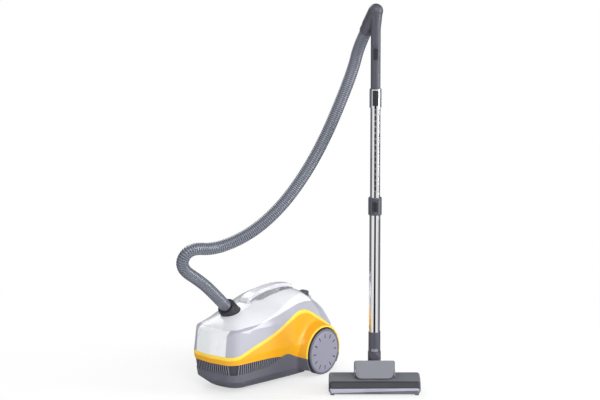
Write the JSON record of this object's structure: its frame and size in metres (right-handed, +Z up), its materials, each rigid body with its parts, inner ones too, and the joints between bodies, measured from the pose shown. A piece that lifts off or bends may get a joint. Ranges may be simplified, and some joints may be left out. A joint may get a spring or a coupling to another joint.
{
  "type": "canister vacuum cleaner",
  "caption": "Canister vacuum cleaner with ribbed hose, hand grip, telescopic chrome wand and wide turbo floor nozzle.",
  "frame": {"origin": "floor level under the middle of the canister and wand together", "axes": "+Z up, canister's nose towards -X, wand on the -Y side"},
  "size_m": [0.6198, 0.6936, 1.2117],
  "materials": {
    "slate_plastic": "satin",
    "yellow_plastic": "gloss",
    "light_plastic": "gloss",
    "white_plastic": "gloss",
    "silver_plastic": "gloss",
    "hub_plastic": "satin",
    "grip_plastic": "satin",
    "dark_plastic": "satin",
    "hose_plastic": "satin",
    "clear_plastic": "gloss",
    "button_plastic": "gloss",
    "tyre_rubber": "matte",
    "soft_rubber": "matte",
    "chrome_steel": "polished",
    "plain_steel": "brushed",
    "spring_steel": "polished",
    "filter_felt": "matte",
    "laminated_iron": "satin",
    "board_resin": "satin",
    "bristle": "matte"
  },
  "bodies": {
    "canister": {"base_tray": "slate_plastic", "fin_grille": "slate_plastic", "yellow_shell": "yellow_plastic", "side_belt_left": "light_plastic", "side_belt_right": "light_plastic", "rear_cover": "silver_plastic", "front_panel": "light_plastic", "inlet_ring": "dark_plastic", "inlet_seal": "soft_rubber", "suction_hose": "hose_plastic", "hose_cuff": "grip_plastic", "dust_bin": "clear_plastic", "bin_lid": "grip_plastic", "bin_filter": "filter_felt", "inlet_duct": "dark_plastic", "motor_housing": "plain_steel", "motor_stator": "laminated_iron", "motor_mounts": "soft_rubber", "reel_spindle": "dark_plastic", "control_board": "board_resin", "cord_outlet": "soft_rubber", "exhaust_filter": "filter_felt", "axle_left": "plain_steel", "axle_right": "plain_steel"},
    "inlet_collar": {"hose_collar": "dark_plastic"},
    "inlet_latch": {"collar_latch": "dark_plastic"},
    "hood_lid": {"hood": "white_plastic"},
    "bow_handle": {"carrying_handle": "white_plastic"},
    "pedal_power": {"power_pedal": "grip_plastic", "power_spring": "spring_steel"},
    "pedal_rewind": {"rewind_pedal": "grip_plastic", "rewind_spring": "spring_steel"},
    "left_wheel": {"tyre_left": "tyre_rubber", "wheel_left": "hub_plastic"},
    "right_wheel": {"tyre_right": "tyre_rubber", "wheel_right": "hub_plastic"},
    "caster_swivel": {"caster_fork": "slate_plastic"},
    "caster_roller": {"caster_wheel": "soft_rubber"},
    "rotor": {"motor_rotor": "plain_steel", "fan_impeller": "plain_steel"},
    "reel": {"cord_reel": "dark_plastic"},
    "outlet_door": {"exhaust_door": "silver_plastic"},
    "grip": {"handle_shell": "grip_plastic", "upper_tube": "chrome_steel", "detent_strip": "plain_steel"},
    "suction_slider": {"air_slider": "dark_plastic"},
    "wand_tongue": {"lock_tongue": "dark_plastic"},
    "lower_wand": {"lower_tube": "chrome_steel", "lock_collar": "grip_plastic", "end_connector": "grip_plastic"},
    "telescope_slider": {"collar_slider": "dark_plastic"},
    "wand_button": {"release_button": "button_plastic"},
    "wand_elbow": {"elbow": "grip_plastic"},
    "head": {"nozzle_body": "grip_plastic", "sole_plate": "dark_plastic", "neck_cover": "grip_plastic"},
    "brush": {"brush_roller": "bristle"},
    "turbine": {"turbine_wheel": "dark_plastic"},
    "left_roller": {"rear_roller_left": "soft_rubber"},
    "right_roller": {"rear_roller_right": "soft_rubber"}
  },
  "joints": [
    {"name": "collar_turn", "type": "hinge", "parent": "canister", "child": "inlet_collar", "pos_m": [-0.153, 0.189, 0.253], "axis": [-0.7157, 0, 0.6984], "continuous": true},
    {"name": "latch_press", "type": "slide", "parent": "inlet_collar", "child": "inlet_latch", "axis": [-0.5721, 0.5736, -0.5863], "range_m": [0, 0.0016], "stiffness_N_per_m": 900, "springref_m": -0.001},
    {"name": "hood_open", "type": "hinge", "parent": "canister", "child": "hood_lid", "pos_m": [0.2083, 0.189, 0.2294], "axis": [0, 1, 0], "range_deg": [0, 65]},
    {"name": "handle_lift", "type": "hinge", "parent": "hood_lid", "child": "bow_handle", "pos_m": [-0.072, 0.189, 0.259], "axis": [0, -1, 0], "range_deg": [0, 40]},
    {"name": "power_press", "type": "slide", "parent": "hood_lid", "child": "pedal_power", "axis": [0, 0, -1], "range_m": [0, 0.004], "stiffness_N_per_m": 900, "springref_m": -0.002, "deforming": ["power_spring"]},
    {"name": "rewind_press", "type": "slide", "parent": "hood_lid", "child": "pedal_rewind", "axis": [0, 0, -1], "range_m": [0, 0.004], "stiffness_N_per_m": 900, "springref_m": -0.002, "deforming": ["rewind_spring"]},
    {"name": "wheel_left_roll", "type": "hinge", "parent": "canister", "child": "left_wheel", "pos_m": [0.134, 0.044, 0.076], "axis": [0, 1, 0], "continuous": true},
    {"name": "wheel_right_roll", "type": "hinge", "parent": "canister", "child": "right_wheel", "pos_m": [0.134, 0.334, 0.076], "axis": [0, 1, 0], "continuous": true},
    {"name": "caster_swivel_turn", "type": "hinge", "parent": "canister", "child": "caster_swivel", "pos_m": [-0.124, 0.189, 0.035], "axis": [0, 0, 1], "continuous": true},
    {"name": "caster_wheel_roll", "type": "hinge", "parent": "caster_swivel", "child": "caster_roller", "pos_m": [-0.114, 0.189, 0.014], "axis": [0, 1, 0], "continuous": true},
    {"name": "motor_spin", "type": "hinge", "parent": "canister", "child": "rotor", "pos_m": [0.086, 0.189, 0.098], "axis": [1, 0, 0], "continuous": true},
    {"name": "reel_spin", "type": "hinge", "parent": "canister", "child": "reel", "pos_m": [0.086, 0.189, 0.19], "axis": [0, 0, 1], "continuous": true},
    {"name": "exhaust_door_open", "type": "hinge", "parent": "canister", "child": "outlet_door", "pos_m": [0.2341, 0.189, 0.13], "axis": [0, 1, 0], "range_deg": [0, 75]},
    {"name": "grip_swivel", "type": "hinge", "parent": "canister", "child": "grip", "pos_m": [0.112, -0.1895, 1.1895], "axis": [0.1737, 0.5862, -0.7913], "range_deg": [-12, 12]},
    {"name": "suction_slide", "type": "slide", "parent": "grip", "child": "suction_slider", "axis": [0, 0, 1], "range_m": [0, 0.009]},
    {"name": "tongue_press", "type": "slide", "parent": "grip", "child": "wand_tongue", "axis": [0.7826, 0.6225, 0], "range_m": [0, 0.0012], "stiffness_N_per_m": 900, "springref_m": -0.001},
    {"name": "telescope", "type": "slide", "parent": "grip", "child": "lower_wand", "axis": [0, 0, 1], "range_m": [0, 0.26]},
    {"name": "telescope_release", "type": "slide", "parent": "lower_wand", "child": "telescope_slider", "axis": [0, 0, 1], "range_m": [-0.007, 0.007], "stiffness_N_per_m": 300},
    {"name": "button_press", "type": "slide", "parent": "lower_wand", "child": "wand_button", "axis": [0.7826, 0.6225, 0], "range_m": [0, 0.0014], "stiffness_N_per_m": 900, "springref_m": -0.001},
    {"name": "elbow_swivel", "type": "hinge", "parent": "lower_wand", "child": "wand_elbow", "pos_m": [0.112, -0.1895, 0.11], "axis": [0, 0, 1], "range_deg": [-90, 90]},
    {"name": "wand_tilt", "type": "hinge", "parent": "wand_elbow", "child": "head", "pos_m": [0.11826, -0.18452, 0.048], "axis": [0.6225, -0.7826, 0], "range_deg": [0, 55]},
    {"name": "turbine_spin", "type": "hinge", "parent": "head", "child": "turbine", "pos_m": [0.14722, -0.21771, 0.025], "axis": [0.6225, -0.7826, 0], "continuous": true},
    {"name": "brush_spin", "type": "hinge", "parent": "head", "child": "brush", "pos_m": [0.07756, -0.21689, 0.0245], "axis": [0.6225, -0.7826, 0], "continuous": true},
    {"name": "roller_left_roll", "type": "hinge", "parent": "head", "child": "left_roller", "pos_m": [0.07849, -0.10882, 0.0085], "axis": [0.6225, -0.7826, 0], "continuous": true},
    {"name": "roller_right_roll", "type": "hinge", "parent": "head", "child": "right_roller", "pos_m": [0.18307, -0.2403, 0.0085], "axis": [0.6225, -0.7826, 0], "continuous": true}
  ],
  "couplings": [
    {"joint": "brush_spin", "follows": "turbine_spin", "ratio": 0.2}
  ]
}
